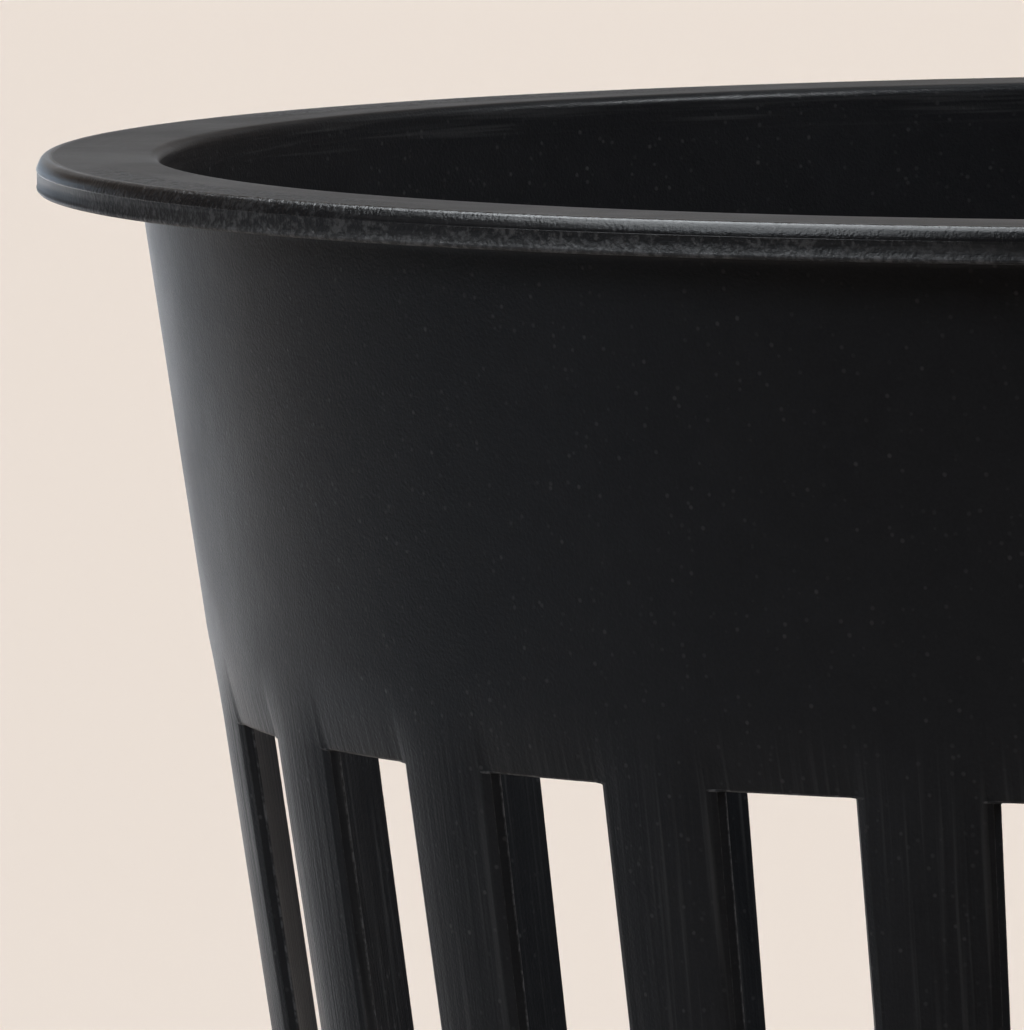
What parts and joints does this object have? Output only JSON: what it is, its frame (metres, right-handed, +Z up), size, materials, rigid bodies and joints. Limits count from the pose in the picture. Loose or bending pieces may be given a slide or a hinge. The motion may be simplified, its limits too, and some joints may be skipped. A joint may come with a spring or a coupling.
{
  "type": "hydroponic net pot",
  "caption": "Black moulded net pot for hydroponics: a conical cup with a flat hanging rim, a plain upper band, a slotted ribbed wall and a drained floor.",
  "frame": {"origin": "centre of the base, on the surface the pot stands on", "axes": "+Z up along the pot's axis, +X through the middle of one rib"},
  "size_m": [0.089, 0.089, 0.075],
  "materials": {
    "black_plastic": "matte, fine moulded grain"
  },
  "bodies": {
    "root": {"net_pot": "black_plastic"}
  },
  "joints": []
}
